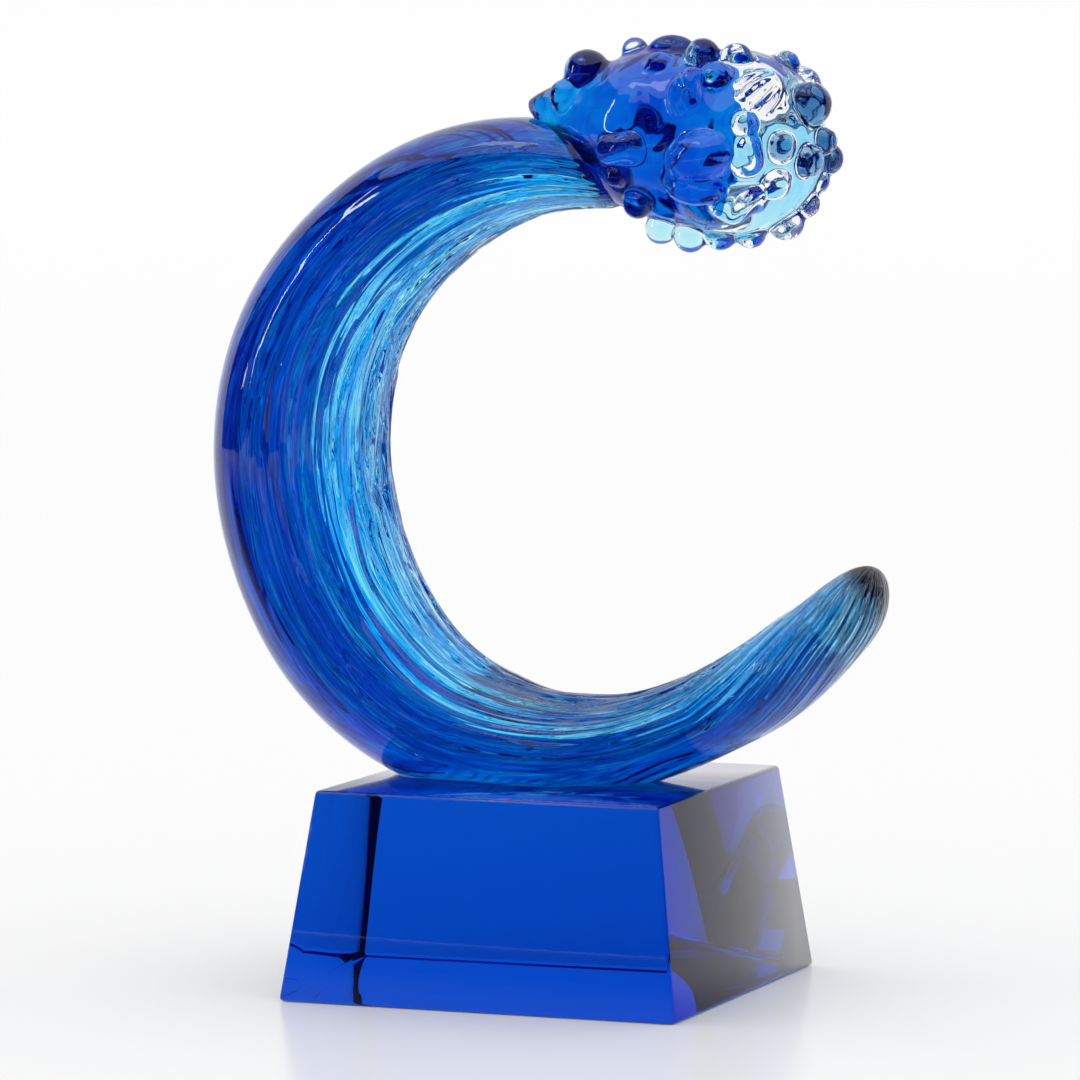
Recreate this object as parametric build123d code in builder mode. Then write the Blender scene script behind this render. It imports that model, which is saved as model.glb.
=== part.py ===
"""Glass wave sculpture: a hot-worked C-shaped wave with a foaming crest, on a tapered crystal block.

Millimetres. The origin is the middle of the block's underside, +X runs towards the tail of the
wave, -Y faces the viewer and +Z is up.
"""
import os
from math import asin, atan, cos, degrees, radians, sin

from build123d import *

os.makedirs("parts", exist_ok=True)

# Crystal block: square, narrower at the top, every edge ground off
block_foot_width = 115.0
block_top_width = 99.5
block_height = 57.0
block_edge = 1.2

# Clear resin that bonds the wave's ground foot to the block
bond_thickness = 0.2

# Wave: a crescent drawn about one centre line, set by its rise above the block. Each station gives
# the turn from +X in degrees, the reach to its outer and inner faces, and half its depth.
wave_centre_x = -1.6
wave_rise = 90.4
wave_stations = [
    (70, 86.0, 72.0, 10.5),
    (74, 88.0, 69.0, 13.5),
    (90, 91.0, 64.0, 17.0),
    (112, 93.0, 57.0, 20.0),
    (135, 94.0, 52.0, 22.5),
    (158, 96.0, 48.5, 24.5),
    (180, 97.0, 47.0, 25.0),
    (202, 98.0, 48.0, 25.0),
    (225, 100.0, 52.5, 25.0),
    (248, 100.0, 59.5, 24.5),
    (270, 97.0, 65.0, 24.0),
    (288, 96.0, 69.5, 22.0),
    (303, 97.5, 72.5, 19.5),
    (316, 101.5, 76.0, 17.5),
    (327, 104.5, 80.5, 16.0),
    (332, 106.0, 84.0, 13.5),
    (337, 107.5, 87.5, 10.0),
]
tail_ball_radius = 10.5

# Tooled ridges along the hollow side of the wave
ridge_count = 7
groove_share = 0.08
tail_groove_share = 0.02

# Colour inside the clear casing, as shares of the wave's own section
veil_share = 0.82
core_share = 0.62
veil_shift = 0.0
core_shift = 0.16
veil_stations = 16
core_stations = 15
veil_cover = 2.0
core_cover = 5.0
colour_taper = 0.35

# Crest: a blue hood, pointed where it laps back over the wave, running into a clear round gather
gather_out = 54.6
gather_rise = 85.1
gather_radius = 25.5
hood_back = 21.2
hood_rise = 2.5
hood_radius = 23.0
hood_tilt = -11.0
hood_tip_radius = 3.5
hood_span = 36.0

# Foam drops seated on the crest: name, centre from the gather's, half length along the lean,
# half width, lean in degrees
middle_drops = [
    ("crown_drop_1", (-40, -6, 18.5), 5.8, 5.8, 0),
    ("crown_drop_2", (-45, -10, 12.5), 3.6, 3.6, 0),
    ("crown_drop_3", (-28, -1, 24.5), 3.0, 3.0, 0),
    ("crown_drop_4", (-17, -2, 24.5), 6.5, 4.5, 0),
    ("crown_drop_5", (-17, -12, 20.5), 3.3, 3.3, 0),
    ("crown_drop_6", (-5, -11, 23.5), 4.1, 4.1, 0),
    ("crown_drop_7", (4, -9, 22.5), 3.8, 3.8, 0),
    ("crown_drop_8", (13, 5, 20.5), 3.6, 3.6, 0),
    ("nose_drop_1", (23, -4, 10.5), 5.5, 5.5, 0),
    ("nose_drop_2", (26, -1, 0.5), 3.2, 3.2, 0),
    ("nose_drop_3", (22, 6, -10.5), 2.7, 2.7, 0),
    ("chin_drop_1", (-22, -15, -16.5), 3.4, 3.4, 0),
    ("chin_drop_2", (-20, -2, -23.5), 3.8, 3.8, 0),
    ("chin_drop_3", (-11, -4, -25.5), 3.8, 3.8, 0),
    ("chin_drop_4", (-3, -2, -24.5), 4.1, 4.1, 0),
    ("chin_drop_5", (5, 0, -24.5), 3.6, 3.6, 0),
    ("chin_drop_6", (14, 3, -21.5), 4.4, 4.4, 0),
    ("chin_drop_7", (19, 5, -16.5), 3.3, 3.3, 0),
    ("hood_bead", (-27, -19, -9), 2.2, 2.2, 0),
]
paired_drops = [
    ("brow_twist", (-6, 21, 13.5), 7.0, 4.0, 70),
    ("brow_drop", (1, 17, 17.5), 4.1, 4.1, 0),
    ("brow_fan", (13, 15, 13.5), 6.6, 5.6, 40),
    ("hood_swirl", (-24, 22, -1.5), 7.0, 3.6, 5),
    ("cheek_lobe", (-1, 24, -3.5), 8.6, 6.2, 20),
    ("cheek_eye", (-3, 23, -11.5), 7.6, 4.2, -5),
    ("cheek_curl", (8, 18, -15.5), 7.6, 4.4, 15),
    ("cheek_drop", (11, 21, -2.5), 5.0, 3.6, 80),
    ("cheek_bead", (11, 22, 5.5), 2.2, 2.2, 0),
    ("nose_eye", (19, 16, -0.5), 3.6, 3.6, 0),
    ("nose_pearl", (17, 15, -10.5), 3.8, 3.8, 0),
    ("nose_side_drop", (24, 8, -4.5), 3.8, 3.8, 0),
]

foot_level = block_height + bond_thickness
wave_centre = Vector(wave_centre_x, 0, block_height + wave_rise)
gather_centre = wave_centre + Vector(gather_out, 0, gather_rise)
hood_centre = gather_centre + Vector(-hood_back, 0, hood_rise)


def save(node, label):
    """Name a finished piece and write it out."""
    node.part.label = label
    export_step(node.part, "parts/" + label + ".step")


def outward(turn):
    """Unit direction from the wave's centre line at this turn."""
    return Vector(cos(radians(turn)), 0, sin(radians(turn)))


def wave_point(turn, reach):
    """Point of the wave's middle plane at this turn and reach."""
    return wave_centre + outward(turn) * reach


def section_plane(turn, reach):
    """Plane square to the wave at this turn, x outward and y from front to back."""
    along = Vector(-sin(radians(turn)), 0, cos(radians(turn)))
    return Plane(origin=wave_point(turn, reach), x_dir=outward(turn), z_dir=along)


def rim_point(half_thickness, half_depth, angle, share):
    """Point at this angle on a section's ellipse shrunk to a share of its size."""
    return (half_thickness * share * cos(radians(angle)), half_depth * share * sin(radians(angle)))


def ridged_face(plane, half_thickness, half_depth, groove):
    """Section of the wave: smooth on the outer side, a row of round ridges on the hollow side."""
    step = 180 / ridge_count
    valleys = [rim_point(half_thickness, half_depth, 90, 1)]
    for ridge in range(1, ridge_count):
        valleys.append(rim_point(half_thickness, half_depth, 90 + ridge * step, 1 - groove))
    valleys.append(rim_point(half_thickness, half_depth, 270, 1))
    with BuildSketch(plane) as section:
        with BuildLine():
            EllipticalCenterArc((0, 0), half_thickness, half_depth, start_angle=-90, arc_size=180)
            for ridge in range(ridge_count):
                crown = rim_point(half_thickness, half_depth, 90 + (ridge + 0.5) * step, 1)
                ThreePointArc(valleys[ridge], crown, valleys[ridge + 1])
        make_face()
    return section.sketch.face()


def colour_faces(station_count, share, shift):
    """Plain sections inside the wave, a share of its size and shifted outward, tapered at the tail."""
    faces = []
    for index, (turn, outer, inner, half_depth) in enumerate(wave_stations[:station_count]):
        half_thickness = (outer - inner) / 2
        middle = (outer + inner) / 2 + shift * half_thickness
        kept = share * colour_taper if index == station_count - 1 else share
        with BuildSketch(section_plane(turn, middle)) as section:
            Ellipse(half_thickness * kept, half_depth * kept)
        faces.append(section.sketch.face())
    return faces


def rounded_profile(start, lean, small_radius, large_radius, span):
    """Half outline of two balls on one axis with a straight flank between them; the axis leans up from +X."""
    flank = 90 + degrees(asin((large_radius - small_radius) / span))
    small_top = (small_radius * (1 + cos(radians(flank))), small_radius * sin(radians(flank)))
    large_middle = small_radius + span
    large_top = (large_middle + large_radius * cos(radians(flank)), large_radius * sin(radians(flank)))
    square_to_axis = Vector(-sin(radians(lean)), 0, cos(radians(lean)))
    with BuildSketch(Plane(origin=start, x_dir=outward(lean), z_dir=square_to_axis)) as profile:
        with BuildLine():
            CenterArc((small_radius, 0), small_radius, flank, 180 - flank)
            Line(small_top, large_top)
            CenterArc((large_middle, 0), large_radius, 0, flank)
            Line((large_middle + large_radius, 0), (0, 0))
        make_face()
    return profile.sketch.face()


# Crystal block
with BuildPart() as base_block:
    with BuildSketch(Plane.XY):
        Rectangle(block_foot_width, block_foot_width)
    side_slope = degrees(atan((block_foot_width - block_top_width) / 2 / block_height))
    extrude(amount=block_height, taper=side_slope)
    chamfer(base_block.edges(), block_edge)
save(base_block, "base_block")

# Colour of the wave, from the middle outward
with BuildPart() as wave_core:
    loft(colour_faces(core_stations, core_share, core_shift))
    split(bisect_by=Plane.XY.offset(foot_level + core_cover), keep=Keep.TOP)
save(wave_core, "wave_core")

with BuildPart() as veil_whole:
    loft(colour_faces(veil_stations, veil_share, veil_shift))
    split(bisect_by=Plane.XY.offset(foot_level + veil_cover), keep=Keep.TOP)

with BuildPart() as wave_veil:
    add(veil_whole.part)
    add(wave_core.part, mode=Mode.SUBTRACT)
save(wave_veil, "wave_veil")

# Clear casing with its ridges, its round tail tip and its ground foot
tail_turn, tail_outer, tail_inner, _ = wave_stations[-1]
with BuildPart() as wave_whole:
    wave_faces = []
    for turn, outer, inner, half_depth in wave_stations:
        groove = groove_share if turn < tail_turn else tail_groove_share
        plane = section_plane(turn, (outer + inner) / 2)
        wave_faces.append(ridged_face(plane, (outer - inner) / 2, half_depth, groove))
    loft(wave_faces)
    with Locations(wave_point(tail_turn, (tail_outer + tail_inner) / 2)):
        Sphere(tail_ball_radius, rotation=(0, 360 - tail_turn, 0))
    split(bisect_by=Plane.XY.offset(foot_level), keep=Keep.TOP)

with BuildPart() as wave_casing:
    add(wave_whole.part)
    add(veil_whole.part, mode=Mode.SUBTRACT)
save(wave_casing, "wave_casing")

# Bond film under the foot
with BuildPart() as bond_film:
    foot_face = wave_whole.faces().sort_by(Axis.Z)[0]
    extrude(foot_face, amount=bond_thickness, dir=(0, 0, -1))
save(bond_film, "bond_film")

# Blue hood over the end of the wave
with BuildPart() as crest_hood:
    hood_tip = hood_centre - outward(hood_tilt) * (hood_span + hood_tip_radius)
    hood_profile = rounded_profile(hood_tip, hood_tilt, hood_tip_radius, hood_radius, hood_span)
    revolve(hood_profile, axis=Axis(hood_tip, outward(hood_tilt)))
    add(wave_whole.part, mode=Mode.SUBTRACT)
save(crest_hood, "crest_hood")

# Clear gather that the hood runs into
with BuildPart() as crest_gather:
    with Locations(gather_centre):
        Sphere(gather_radius, rotation=(0, 0, 180))
    add(crest_hood.part, mode=Mode.SUBTRACT)
save(crest_gather, "crest_gather")

# Foam drops, each seated on the crest and cut back where it meets an earlier neighbour
all_drops = list(middle_drops)
for name, (x, y, z), half_length, half_width, lean in paired_drops:
    all_drops.append((name + "_front", (x, -y, z), half_length, half_width, lean))
    all_drops.append((name + "_back", (x, y, z), half_length, half_width, lean))

placed = []
for name, offset, half_length, half_width, lean in all_drops:
    centre = gather_centre + Vector(offset)
    with BuildPart() as drop:
        if half_length > half_width:
            span = 2 * (half_length - half_width)
            start = centre - outward(lean) * half_length
            bit_profile = rounded_profile(start, lean, half_width, half_width, span)
            revolve(bit_profile, axis=Axis(start, outward(lean)))
        else:
            with Locations(centre):
                Sphere(half_width, rotation=(0, 0, 90 if centre.Y < 0 else -90))
        add(crest_hood.part, mode=Mode.SUBTRACT)
        add(crest_gather.part, mode=Mode.SUBTRACT)
        for other_centre, other_reach, other_part in placed:
            if (centre - other_centre).length < half_length + other_reach:
                add(other_part, mode=Mode.SUBTRACT)
    placed.append((centre, half_length, drop.part))
    save(drop, name)
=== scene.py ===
"""Glass wave sculpture on a cobalt crystal block, seen as in the photograph."""

from math import acos, atan2, cos, hypot, pi, radians, sin

import bmesh
import bpy
from mathutils import Matrix, Vector, noise


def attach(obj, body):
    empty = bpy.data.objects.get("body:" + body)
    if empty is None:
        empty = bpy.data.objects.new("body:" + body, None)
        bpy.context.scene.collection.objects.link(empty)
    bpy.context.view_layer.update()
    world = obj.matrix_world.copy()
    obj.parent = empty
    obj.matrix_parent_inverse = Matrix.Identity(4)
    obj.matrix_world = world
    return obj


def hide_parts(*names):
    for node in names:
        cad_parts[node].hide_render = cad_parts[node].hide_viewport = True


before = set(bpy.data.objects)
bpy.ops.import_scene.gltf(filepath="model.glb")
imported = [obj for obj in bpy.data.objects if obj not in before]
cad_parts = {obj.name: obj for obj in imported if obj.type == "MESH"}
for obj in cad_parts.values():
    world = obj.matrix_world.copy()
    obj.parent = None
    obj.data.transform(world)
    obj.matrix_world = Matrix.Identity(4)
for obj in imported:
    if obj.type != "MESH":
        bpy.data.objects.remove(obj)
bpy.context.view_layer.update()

# The sculpture is measured in millimetres, the studio around it in metres
MM = 0.001

# Crystal block
BLOCK_FOOT = 114.6
BLOCK_TOP = 99.2
BLOCK_HEIGHT = 57.0
BLOCK_EDGE = 1.1
FOOT_LEVEL = 57.2

# Wave: turn from +X in degrees, reach to the outer and inner faces, half depth
WAVE_X = -1.6
WAVE_Z = 147.4
STATIONS = [
    (62, 84.0, 74.0, 8.0),
    (70, 86.0, 72.0, 10.5),
    (74, 88.0, 69.0, 13.5),
    (90, 91.0, 64.0, 17.0),
    (112, 93.0, 57.0, 20.0),
    (135, 94.0, 52.0, 22.5),
    (158, 96.0, 48.5, 24.5),
    (180, 97.0, 47.0, 25.0),
    (202, 98.0, 48.0, 25.0),
    (225, 100.0, 52.5, 25.0),
    (248, 100.0, 59.5, 24.5),
    (270, 97.0, 65.0, 24.0),
    (288, 96.0, 69.5, 22.0),
    (303, 97.5, 72.5, 19.5),
    (316, 101.5, 76.0, 17.5),
    (327, 104.5, 80.5, 16.0),
    (335, 107.0, 86.0, 13.0),
    (344, 109.0, 90.0, 11.0),
]
WAVE_START = 70.0
TIP_END = 343.0
TIP_SPAN = 10.0
TWIST_START = 305.0
TAIL_TWIST = 1.1
TOOLED_END = 325.0
SKIN_STEPS = (440, 200)
COLOUR_STEPS = (200, 72)

# Crest: pointed hood, round gather and the foam drops on them
HOOD_CENTRE = (31.8, 0.0, 235.0)
HOOD_TILT = -11.0
HOOD_RADIUS = 22.8
HOOD_TIP_RADIUS = 3.4
HOOD_SPAN = 36.0
GATHER_CENTRE = (53.0, 0.0, 232.5)
GATHER_RADIUS = 25.3
MELT_ROOM = 0.8
COLOUR_DEPTH = 0.7
HOOD_COLOUR_DEPTH = 0.8
# Cobalt low on the front of the gather: centre, half length, half width, lean
FRONT_COBALT = ((40, -6, 226), 15.5, 14.5, -10)

# Drops on the middle of the crest: name, centre, half length, half width, lean, colour
MIDDLE_DROPS = [
    ("crown_drop_1", (13, -6, 251), 5.7, 5.7, 0, "aqua"),
    ("crown_drop_2", (8, -10, 245), 3.6, 3.6, 0, "aqua"),
    ("crown_drop_3", (25, -1, 257), 3.0, 3.0, 0, ""),
    ("crown_drop_4", (36, -2, 257), 6.3, 3.7, 0, "aqua"),
    ("crown_drop_5", (36, -12, 253), 3.3, 3.3, 0, ""),
    ("crown_drop_6", (48, -11, 256), 4.1, 4.1, 0, "navy"),
    ("crown_drop_7", (57, -9, 255), 3.8, 3.8, 0, ""),
    ("crown_drop_8", (66, 5, 253), 3.6, 3.6, 0, ""),
    ("nose_drop_1", (76, -4, 243), 5.4, 5.4, 0, "navy"),
    ("nose_drop_2", (79, -1, 233), 3.2, 3.2, 0, "navy"),
    ("nose_drop_3", (75, 6, 222), 2.7, 2.7, 0, ""),
    ("chin_drop_1", (31, -15, 216), 3.4, 3.4, 0, ""),
    ("chin_drop_2", (33, -2, 209), 3.8, 3.8, 0, "aqua"),
    ("chin_drop_3", (42, -4, 207), 3.8, 3.8, 0, "aqua"),
    ("chin_drop_4", (50, -2, 208), 4.1, 4.1, 0, "aqua"),
    ("chin_drop_5", (58, 0, 208), 3.6, 3.6, 0, ""),
    ("chin_drop_6", (67, 3, 211), 4.4, 4.4, 0, ""),
    ("chin_drop_7", (72, 5, 216), 3.3, 3.3, 0, ""),
    ("hood_bead", (26, -19, 223.5), 2.2, 2.2, 0, ""),
]
# Drops that sit on the front and again on the back
PAIRED_DROPS = [
    ("brow_twist", (47, 21, 246), 7.0, 4.0, 70, ""),
    ("brow_drop", (54, 17, 250), 4.1, 4.1, 0, ""),
    ("brow_fan", (66, 15, 246), 6.6, 5.6, 40, ""),
    ("hood_swirl", (29, 22, 231), 7.0, 3.6, 5, ""),
    ("cheek_lobe", (52, 24, 229), 8.6, 6.2, 20, "cobalt"),
    ("cheek_eye", (50, 23, 221), 7.6, 4.2, -5, "cobalt"),
    ("cheek_curl", (61, 18, 217), 7.6, 4.4, 15, ""),
    ("cheek_drop", (64, 21, 230), 5.0, 3.6, 80, ""),
    ("cheek_bead", (64, 22, 238), 2.2, 2.2, 0, "navy"),
    ("nose_eye", (72, 16, 232), 3.6, 3.6, 0, "navy"),
    ("nose_pearl", (70, 15, 222), 3.8, 3.8, 0, ""),
    ("nose_side_drop", (77, 8, 228), 3.8, 3.8, 0, "navy"),
]
# Drops that were pinched into ribs: count, winding in radians per half length
RIBBED = {
    "brow_twist": (3, 1.6),
    "brow_fan": (9, 0.0),
    "hood_swirl": (2, 1.8),
    "cheek_curl": (3, 1.4),
    "cheek_drop": (3, 1.0),
}

# What each glass takes from red, green and blue, per metre of path
BASE_TAKES = (60.0, 23.0, 4.2)
AQUA_TAKES = (40.0, 6.0, 0.3)
COBALT_TAKES = (220.0, 48.0, 8.0)
HOOD_TAKES = (240.0, 36.0, 7.0)
DROP_TAKES = {"aqua": (120.0, 22.0, 2.0), "navy": (330.0, 180.0, 90.0), "cobalt": (120.0, 30.0, 4.0)}

# Camera fitted to the photograph
PHOTO_PIXELS = 1080
LENS_PIXELS = 7000
SENSOR_WIDTH = 36.0
CAMERA_TURN = 21.04
CAMERA_RISE = 5.15
CAMERA_REACH = 1.923
CAMERA_TARGET = (-0.00307, 0.0, 0.1226)

# Dark cloth around the set
CLOTH_RADIUS = 2.4
CLOTH_HEIGHT = 2.4
CLOTH_START = 165.0
CLOTH_SPAN = 222.0


class Field:
    """One value of a material; the usual signs do sums with it."""

    def __init__(self, graph, socket):
        self.graph = graph
        self.socket = socket

    def _sum(self, operation, first, second):
        made = self.graph.node("ShaderNodeMath", {"operation": operation}, {0: first, 1: second})
        return Field(self.graph, made.outputs[0])

    def __add__(self, other):
        return self._sum("ADD", self, other)

    def __radd__(self, other):
        return self._sum("ADD", other, self)

    def __sub__(self, other):
        return self._sum("SUBTRACT", self, other)

    def __rsub__(self, other):
        return self._sum("SUBTRACT", other, self)

    def __mul__(self, other):
        return self._sum("MULTIPLY", self, other)

    def __rmul__(self, other):
        return self._sum("MULTIPLY", other, self)

    def __truediv__(self, other):
        return self._sum("DIVIDE", self, other)

    def __rtruediv__(self, other):
        return self._sum("DIVIDE", other, self)


class Graph:
    """Nodes of one material or of the world."""

    def __init__(self, tree):
        self.tree = tree
        self.tree.nodes.clear()

    def node(self, kind, settings=None, values=None):
        made = self.tree.nodes.new(kind)
        for key, value in (settings or {}).items():
            setattr(made, key, value)
        for key, value in (values or {}).items():
            if isinstance(value, Field):
                self.tree.links.new(value.socket, made.inputs[key])
            else:
                made.inputs[key].default_value = value
        return made

    def field(self, kind, output, settings=None, values=None):
        return Field(self, self.node(kind, settings, values).outputs[output])


def new_material(name):
    """Empty material and the graph of its nodes."""
    material = bpy.data.materials.new(name)
    material.use_nodes = True
    return material, Graph(material.node_tree)


def glass(name, takes=None, ior=1.5, ripple=None, tint=None):
    """Glass; takes gives what it absorbs, ior 1 marks colour lying inside clear glass."""
    material, graph = new_material(name)
    values = {"Base Color": (1, 1, 1, 1), "Roughness": 0.0, "IOR": ior, "Transmission Weight": 1.0}
    if tint:
        values["Base Color"] = tint(graph)
    if ripple:
        values["Normal"] = ripple(graph)
    ends = {"Surface": graph.field("ShaderNodeBsdfPrincipled", "BSDF", None, values)}
    if takes:
        density = max(takes)
        colour = [1 - take / density for take in takes] + [1]
        ends["Volume"] = graph.field("ShaderNodeVolumeAbsorption", 0, None,
                                     {"Color": colour, "Density": density})
    graph.node("ShaderNodeOutputMaterial", None, ends)
    return material


def glow(name, colour):
    """Sheet of even light, or of darkness."""
    material, graph = new_material(name)
    surface = graph.field("ShaderNodeEmission", 0, None, {"Color": (*colour, 1), "Strength": 1.0})
    graph.node("ShaderNodeOutputMaterial", None, {"Surface": surface})
    return material


def step(graph, value, low, high):
    """Soft step from 0 at low to 1 at high."""
    return graph.field("ShaderNodeMapRange", 0, {"interpolation_type": "SMOOTHSTEP"},
                       {"Value": value, "From Min": low, "From Max": high})


def mix(graph, share, first, second):
    """Colour between first and second."""
    return graph.field("ShaderNodeMix", 2, {"data_type": "RGBA"}, {0: share, 6: first, 7: second})


def bump(graph, height, strength, distance):
    """Normal that shows height as relief."""
    return graph.field("ShaderNodeBump", "Normal", None,
                       {"Height": height, "Strength": strength, "Distance": distance})


def flow_noise(graph, across, along, detail, swirl, shift=0.0):
    """Noise drawn out along the wave, from 0 to 1."""
    flow = graph.field("ShaderNodeAttribute", "Vector", {"attribute_name": "flow"})
    place = graph.field("ShaderNodeMapping", "Vector", None,
                        {"Vector": flow, "Scale": (across, across, along), "Location": (shift, shift, 0)})
    return graph.field("ShaderNodeTexNoise", 0, None, {"Vector": place, "Scale": 1.0, "Detail": detail,
                                                       "Roughness": 0.6, "Distortion": swirl})


def still_noise(graph, scale, detail, swirl=0.0):
    """Noise fixed to the object, from 0 to 1."""
    place = graph.field("ShaderNodeTexCoord", "Object")
    return graph.field("ShaderNodeTexNoise", 0, None,
                       {"Vector": place, "Scale": scale, "Detail": detail, "Distortion": swirl})


def tooled_skin(graph):
    """Cords left by the tools on the hollow side, the back and the tail; the rest is fire polished."""
    flow = graph.field("ShaderNodeAttribute", "Vector", {"attribute_name": "flow"})
    parts = graph.node("ShaderNodeSeparateXYZ", None, {0: flow})
    outward, back, turn = [Field(graph, socket) for socket in parts.outputs]
    tail = step(graph, turn, radians(TWIST_START), radians(TOOLED_END))
    worked = step(graph, outward * -1.0, 0.15, 0.6) + step(graph, back, 0.1, 0.7) + tail
    return bump(graph, flow_noise(graph, 7.0, 0.9, 2.0, 0.5) * worked, 1.0, 0.0017)


def aqua_streaks_and_painted_glints(graph):
    """Sky-blue streaks, with painted highlights as near-white threads and navy flecks painted in as dark
    reflections.
    """
    # near-white threads: painted highlight glints in the colour, not a colour of the glass
    painted_glint_threads = step(graph, flow_noise(graph, 8.0, 0.6, 4.0, 0.7), 0.45, 0.57)
    # navy flecks: painted dark reflections in the colour
    painted_dark_flecks = step(graph, flow_noise(graph, 6.5, 1.3, 2.0, 0.8, 3.0), 0.63, 0.68)
    sky = mix(graph, painted_glint_threads, (0.004, 0.38, 1.0, 1), (1, 1, 1, 1))
    return mix(graph, painted_dark_flecks, sky, (0.01, 0.12, 0.40, 1))


def cobalt_grain(graph):
    """Wood-like grain of the deep colour."""
    grain = step(graph, flow_noise(graph, 17.0, 1.4, 5.0, 1.2), 0.36, 0.64)
    broad = step(graph, flow_noise(graph, 4.0, 0.8, 2.0, 0.5, 7.0), 0.35, 0.65)
    return mix(graph, grain * (0.5 + 0.5 * broad), (0.01, 0.09, 0.30, 1), (0.5, 0.95, 1.0, 1))


def molten_skin(graph):
    """Folds that run over the crest as the hot glass flowed."""
    return bump(graph, still_noise(graph, 60.0, 1.0, 1.2), 0.5, 0.0022)


def hood_clouds(graph):
    """Cobalt that lies thicker in some folds than in others."""
    clouds = step(graph, still_noise(graph, 60.0, 3.0, 1.2), 0.38, 0.62)
    return mix(graph, clouds, (0.01, 0.26, 0.80, 1), (0.16, 0.66, 1.0, 1))


def place_mesh(name, bm, material):
    """Object made of bm, which is used up."""
    mesh = bpy.data.meshes.new(name)
    bm.to_mesh(mesh)
    bm.free()
    mesh.materials.append(material)
    made = bpy.data.objects.new(name, mesh)
    bpy.context.scene.collection.objects.link(made)
    return made


def make_piece(name, mesh_maker, material, slot, *nodes):
    """Piece of the sculpture made by mesh_maker(bm), in millimetres; it stands for the CAD nodes."""
    bm = bmesh.new()
    mesh_maker(bm)
    bmesh.ops.scale(bm, vec=(MM, MM, MM), verts=bm.verts)
    bmesh.ops.recalc_face_normals(bm, faces=bm.faces)
    piece = place_mesh(name, bm, material)
    for face in piece.data.polygons:
        face.use_smooth = True
    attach(piece, "root")
    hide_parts(*nodes)
    return piece


def melt(piece, grain, rounds):
    """Run overlapping lumps together and let the joints soften."""
    fuse = piece.modifiers.new("fuse", "REMESH")
    fuse.mode = "VOXEL"
    fuse.voxel_size = grain * MM
    fuse.use_smooth_shade = True
    soften = piece.modifiers.new("soften", "SMOOTH")
    soften.factor = 0.5
    soften.iterations = rounds


def block(bm):
    """Tapered block with ground-off edges."""
    bmesh.ops.create_cube(bm, size=1.0)
    for vert in bm.verts:
        width = BLOCK_TOP if vert.co.z > 0 else BLOCK_FOOT
        vert.co = Vector((vert.co.x * width, vert.co.y * width, (vert.co.z + 0.5) * BLOCK_HEIGHT))
    bmesh.ops.bevel(bm, geom=bm.edges[:], offset=BLOCK_EDGE, affect="EDGES", segments=2,
                    profile=0.5, material=-1)


def between(turn, column):
    """Smooth value of a station column at this turn."""
    last = len(STATIONS) - 1
    index = 0
    while index < last - 1 and STATIONS[index + 1][0] <= turn:
        index += 1
    left, right = STATIONS[index], STATIONS[index + 1]
    before = STATIONS[max(index - 1, 0)]
    after = STATIONS[min(index + 2, last)]
    span = right[0] - left[0]
    t = (turn - left[0]) / span
    slope_left = (right[column] - before[column]) / (right[0] - before[0]) * span
    slope_right = (after[column] - left[column]) / (after[0] - left[0]) * span
    h = t * t
    k = h * t
    return ((2 * k - 3 * h + 1) * left[column] + (k - 2 * h + t) * slope_left
            + (3 * h - 2 * k) * right[column] + (k - h) * slope_right)


def tail_twist(turn):
    """How far the cords have wound round the tail, in radians."""
    return TAIL_TWIST * max(0.0, turn - TWIST_START) / (TIP_END - TWIST_START)


def groove_depth(turn, theta):
    """Depth of the grooves between the cords of the hollow side; they run together and part again."""
    hollow = max(0.0, 0.55 - cos(theta)) / 1.55
    wound = theta + tail_twist(turn)
    a = radians(turn)
    broad = noise.noise(Vector((4.0 * cos(wound), 4.0 * sin(wound), 0.9 * a)))
    fine = noise.noise(Vector((9.0 * cos(wound), 9.0 * sin(wound), 1.6 * a + 5.0)))
    groove = max(0.0, 1 - abs(broad) * 5.0) + 0.45 * max(0.0, 1 - abs(fine) * 4.0)
    return hollow * (0.5 + 1.5 * groove)


def wave_place(turn, theta, last, share=1.0, shift=0.0, ridges=1.0, floor=FOOT_LEVEL):
    """Place on the wave's skin, or on a shrunken copy inside it that ends at the turn last."""
    outer, inner, depth = between(turn, 1), between(turn, 2), between(turn, 3)
    thick = (outer - inner) / 2
    past = max(0.0, (turn - last + TIP_SPAN) / TIP_SPAN)
    end = max(0.0, 1 - past ** 2) ** 0.5
    sunk = ridges * groove_depth(turn, theta) * end * min(1.0, thick / 20)
    reach = (outer + inner) / 2 + shift * thick * end + (thick * share * end - sunk) * cos(theta)
    y = (depth * share * end - sunk) * sin(theta)
    a = radians(turn)
    place = Vector((WAVE_X + reach * cos(a), y, WAVE_Z + reach * sin(a)))
    place.z = max(place.z, floor)
    return place


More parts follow.
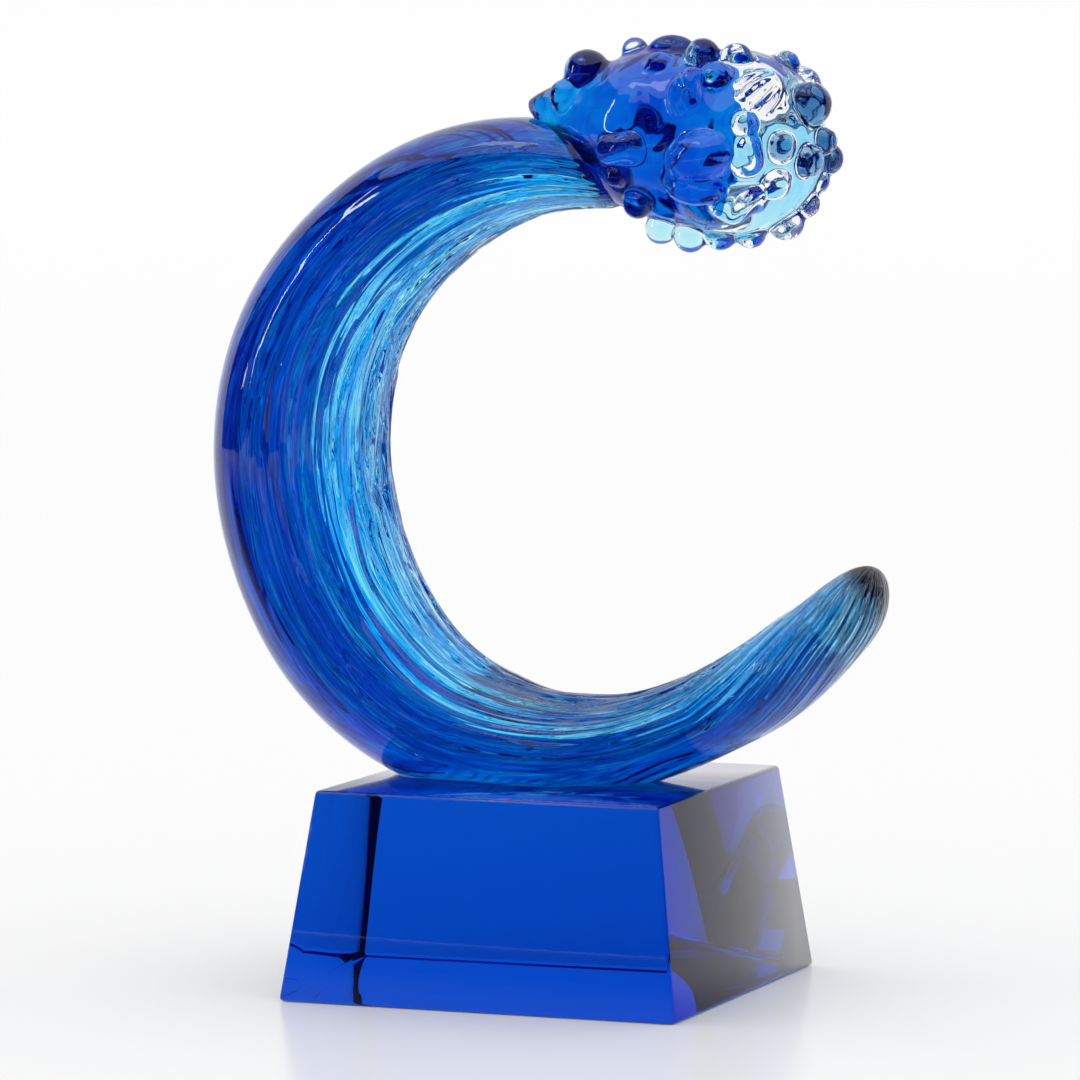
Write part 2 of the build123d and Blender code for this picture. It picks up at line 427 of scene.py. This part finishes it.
def wave_body(first, last, steps, **shape):
    """Ring spun along the wave and drawn to shape; both ends closed."""
    along, around = steps

    def make(bm):
        flow_layer = bm.verts.layers.float_vector.new("flow")
        centre = Vector((WAVE_X, 0, WAVE_Z))
        start, span = radians(first), radians(last - first)
        ring_reach, ring_radius = 80.0, 10.0
        radial = Vector((cos(start), 0, sin(start)))
        to_section = Matrix((radial, (0, 1, 0), radial.cross(Vector((0, 1, 0))))).transposed().to_4x4()
        to_section.translation = centre + radial * ring_reach
        ring = bmesh.ops.create_circle(bm, segments=around, radius=ring_radius, matrix=to_section)
        bmesh.ops.spin(bm, geom=ring["verts"] + bm.edges[:], cent=centre, axis=(0, -1, 0),
                       angle=span, steps=along, use_duplicate=False)
        for vert in bm.verts:
            offset = vert.co - centre
            swept = (atan2(offset.z, offset.x) - start) % (2 * pi)
            if swept > 2 * pi - 0.01:
                swept = 0.0
            turn = first + (last - first) * swept / span
            if turn > last - TIP_SPAN:
                part = 1 - (last - turn) / TIP_SPAN
                turn = last - TIP_SPAN + TIP_SPAN * sin(min(part, 0.985) * pi / 2)
            theta = atan2(vert.co.y, hypot(offset.x, offset.z) - ring_reach)
            wound = theta + tail_twist(turn)
            vert.co = wave_place(turn, theta, last, **shape)
            vert[flow_layer] = (cos(wound), sin(wound), radians(turn))
        bmesh.ops.holes_fill(bm, edges=[edge for edge in bm.edges if edge.is_boundary], sides=0)
    return make


def ball(bm, centre, half_length, half_width, lean=0.0, fineness=4, ribs=0, wind=0.0):
    """Round or drawn-out lump; its length leans up from +X, and ribs may wind round it."""
    made = bmesh.ops.create_icosphere(bm, subdivisions=fineness, radius=1.0)
    if ribs:
        for vert in made["verts"]:
            rib = 1 + 0.16 * cos(ribs * (atan2(vert.co.z, vert.co.y) + wind * vert.co.x))
            vert.co.y *= rib
            vert.co.z *= rib
    place = Matrix.Translation(Vector(centre)) @ Matrix.Rotation(-radians(lean), 4, "Y")
    place = place @ Matrix.Diagonal((half_length, half_width, half_width, 1))
    bmesh.ops.transform(bm, matrix=place, verts=made["verts"])


def hood_form(bm, grow=0.0):
    """Pointed hood: a ball drawn out to a small round tip."""
    made = bmesh.ops.create_icosphere(bm, subdivisions=5, radius=1.0)
    axis = Vector((-cos(radians(HOOD_TILT)), 0, -sin(radians(HOOD_TILT))))
    large, small = HOOD_RADIUS + grow, HOOD_TIP_RADIUS + grow
    flank = acos((large - small) / HOOD_SPAN)
    for vert in made["verts"]:
        outward = vert.co.normalized()
        lean = outward.angle(axis)
        reach = large
        if lean < flank:
            reach = large / cos(flank - lean)
        tip = small ** 2 - (HOOD_SPAN * sin(lean)) ** 2
        if lean < pi / 2 and tip > 0:
            reach = min(reach, HOOD_SPAN * cos(lean) + tip ** 0.5)
        vert.co = Vector(HOOD_CENTRE) + outward * reach


def drops():
    """Every foam drop of the crest, the paired ones once for each side."""
    every = list(MIDDLE_DROPS)
    for name, (x, y, z), *shape in PAIRED_DROPS:
        every.append((name + "_front", (x, -y, z), *shape))
        every.append((name + "_back", (x, y, z), *shape))
    return every


def crest_form(bm):
    """Everything the clear skin of the crest covers; two balls fill the neck between hood and gather."""
    hood_form(bm)
    ball(bm, GATHER_CENTRE, GATHER_RADIUS, GATHER_RADIUS, fineness=5)
    for share in (0.3, 0.6):
        centre = Vector(HOOD_CENTRE).lerp(Vector(GATHER_CENTRE), share)
        radius = HOOD_RADIUS + (GATHER_RADIUS - HOOD_RADIUS) * share
        ball(bm, centre, radius, radius, fineness=5)
    for name, centre, half_length, half_width, lean, _ in drops():
        ribs, wind = RIBBED.get(name.rsplit("_", 1)[0], (0, 0.0))
        ball(bm, centre, half_length + MELT_ROOM, half_width + MELT_ROOM, lean, ribs=ribs, wind=wind)


def hood_colour(bm):
    """Cobalt inside the hood and low on the front of the gather."""
    hood_form(bm, -HOOD_COLOUR_DEPTH)
    ball(bm, *FRONT_COBALT, fineness=5)


def build_block():
    """Crystal block, which stands in for the CAD block and the thin bond on top of it."""
    crystal = glass("block_crystal", BASE_TAKES)
    make_piece("crystal_block", block, crystal, "base_crystal", "base_block", "bond_film")


def build_wave():
    """Clear skin of the wave, and inside it the aqua veil round the cobalt core."""
    make_piece("wave_skin", wave_body(WAVE_START, TIP_END, SKIN_STEPS, share=0.997),
               glass("wave_clear", ripple=tooled_skin), "clear_glass", "wave_casing")
    aqua = wave_body(WAVE_START + 1, TIP_END - 1, COLOUR_STEPS, share=0.84, ridges=0.0, floor=FOOT_LEVEL + 2)
    make_piece("wave_aqua", aqua, glass("wave_aqua", AQUA_TAKES, 1.0, tint=aqua_streaks_and_painted_glints),
               "aqua_glass", "wave_veil")
    cobalt = wave_body(WAVE_START + 2, TIP_END - 14, COLOUR_STEPS, share=0.5, shift=0.38, ridges=0.0,
                       floor=FOOT_LEVEL + 5)
    make_piece("wave_cobalt", cobalt, glass("wave_cobalt", COBALT_TAKES, 1.0, tint=cobalt_grain),
               "cobalt_glass", "wave_core")


def build_crest():
    """Clear skin of the crest, and inside it the hood's cobalt and the colour of the tinted drops."""
    clear_drops = [row[0] for row in drops() if not row[5]]
    skin = make_piece("crest_skin", crest_form, glass("crest_clear", ripple=molten_skin),
                      "clear_glass", "crest_gather", *clear_drops)
    melt(skin, grain=0.45, rounds=34)
    blue = make_piece("crest_cobalt", hood_colour, glass("crest_cobalt", HOOD_TAKES, 1.0, tint=hood_clouds),
                      "cobalt_glass", "crest_hood")
    melt(blue, grain=0.7, rounds=3)
    drop_glass = {colour: glass("drop_" + colour, takes, 1.0) for colour, takes in DROP_TAKES.items()}
    for name, centre, half_length, half_width, lean, colour in drops():
        if colour:
            size = (half_length - COLOUR_DEPTH, half_width - COLOUR_DEPTH)
            make_piece(name + "_colour", lambda bm: ball(bm, centre, *size, lean),
                       drop_glass[colour], colour + "_glass", name)


def white_world():
    """Even white light from all round."""
    world = bpy.data.worlds.new("studio")
    bpy.context.scene.world = world
    world.use_nodes = True
    graph = Graph(world.node_tree)
    sky = graph.field("ShaderNodeBackground", 0, None, {"Color": (1, 1, 1, 1), "Strength": 1.0})
    graph.node("ShaderNodeOutputWorld", None, {"Surface": sky})


def pale_floor():
    """White floor; in the glass's reflections its front part near the sculpture is a painted dark patch
    instead of white.
    """
    material, graph = new_material("floor")
    white = graph.field("ShaderNodeBsdfPrincipled", "BSDF", None,
                        {"Base Color": (0.97, 0.97, 0.97, 1), "Roughness": 0.22, "IOR": 1.12})
    # painted dark reflection: glossy rays reaching the floor's front part near the sculpture see this dark
    # glow in place of the white floor
    painted_dark_reflection = graph.field("ShaderNodeEmission", 0, None, {"Color": (0.05, 0.05, 0.06, 1), "Strength": 1.0})
    place = graph.field("ShaderNodeTexCoord", "Object")
    reach = graph.field("ShaderNodeVectorMath", "Value", {"operation": "LENGTH"}, {0: place})
    depth = Field(graph, graph.node("ShaderNodeSeparateXYZ", None, {0: place}).outputs[1])
    path = graph.node("ShaderNodeLightPath")
    glossy = Field(graph, path.outputs["Is Glossy Ray"])
    through = Field(graph, path.outputs["Is Transmission Ray"])
    dark_reflection_mask = (1.0 - step(graph, reach, 0.8, 2.0)) * (1.0 - step(graph, depth, -0.15, 0.05))
    share = glossy * (1.0 - through) * dark_reflection_mask
    surface = graph.field("ShaderNodeMixShader", 0, None, {0: share, 1: white, 2: painted_dark_reflection})
    graph.node("ShaderNodeOutputMaterial", None, {"Surface": surface})
    bm = bmesh.new()
    bmesh.ops.create_grid(bm, x_segments=1, y_segments=1, size=20)
    floor = place_mesh("floor", bm, material)
    floor.location.z = -0.0002


def studio_sheet(name, bm, colour):
    """Bright or dark sheet that only the glass sees."""
    sheet = place_mesh(name, bm, glow(name, colour))
    sheet.visible_diffuse = False
    sheet.visible_shadow = False
    sheet.visible_camera = False
    return sheet


def dark_cloth():
    """Dark cloth around the set, open behind the sculpture and above it."""
    bm = bmesh.new()
    start = radians(CLOTH_START)
    foot = bm.verts.new((CLOTH_RADIUS * cos(start), CLOTH_RADIUS * sin(start), 0.0))
    head = bm.verts.new((CLOTH_RADIUS * cos(start), CLOTH_RADIUS * sin(start), CLOTH_HEIGHT))
    line = bm.edges.new((foot, head))
    bmesh.ops.spin(bm, geom=[foot, head, line], cent=(0, 0, 0), axis=(0, 0, 1),
                   angle=radians(CLOTH_SPAN), steps=48)
    studio_sheet("surround", bm, (0.03, 0.03, 0.04))


def light_sheet(name, place, aim, width, height, bright, through=False):
    """Light sheet: a highlight on the skin, or a glow seen only through the glass."""
    bm = bmesh.new()
    bmesh.ops.create_grid(bm, x_segments=1, y_segments=1, size=0.5)
    turn = (Vector(aim) - Vector(place)).to_track_quat("Z", "Y").to_matrix().to_4x4()
    bmesh.ops.scale(bm, vec=(width, height, 1), verts=bm.verts)
    bmesh.ops.transform(bm, matrix=Matrix.Translation(place) @ turn, verts=bm.verts)
    sheet = studio_sheet(name, bm, (bright, bright, bright))
    sheet.visible_transmission = through
    sheet.visible_glossy = not through


def photo_camera():
    """Camera at the photograph's angle."""
    scene = bpy.context.scene
    turn, rise = radians(CAMERA_TURN), radians(CAMERA_RISE)
    back = Vector((sin(turn) * cos(rise), -cos(turn) * cos(rise), sin(rise)))
    data = bpy.data.cameras.new("camera")
    data.sensor_width = SENSOR_WIDTH
    data.lens = LENS_PIXELS * SENSOR_WIDTH / PHOTO_PIXELS
    camera = bpy.data.objects.new("camera", data)
    scene.collection.objects.link(camera)
    camera.location = Vector(CAMERA_TARGET) + back * CAMERA_REACH
    camera.rotation_mode = "QUATERNION"
    camera.rotation_quaternion = (-back).to_track_quat("-Z", "Y")
    scene.camera = camera


def studio():
    """White surroundings, dark cloth in front, highlights, camera, and enough bounces for thick glass."""
    white_world()
    pale_floor()
    dark_cloth()
    light_sheet("strip_left", (-1.0, -0.55, 0.6), (-0.075, 0, 0.2), 0.05, 0.8, 14.0)
    light_sheet("glow_front", (-0.8, -2.0, 0.35), (0, 0, 0.12), 1.7, 1.0, 0.5, through=True)
    light_sheet("strip_top", (-0.45, -0.5, 1.5), (0.02, 0, 0.23), 0.5, 0.25, 4.0)
    photo_camera()
    scene = bpy.context.scene
    scene.view_settings.view_transform = "Standard"
    scene.cycles.max_bounces = 32
    scene.cycles.transmission_bounces = 32
    scene.cycles.transparent_max_bounces = 32
    scene.cycles.glossy_bounces = 16


build_block()
build_wave()
build_crest()
studio()
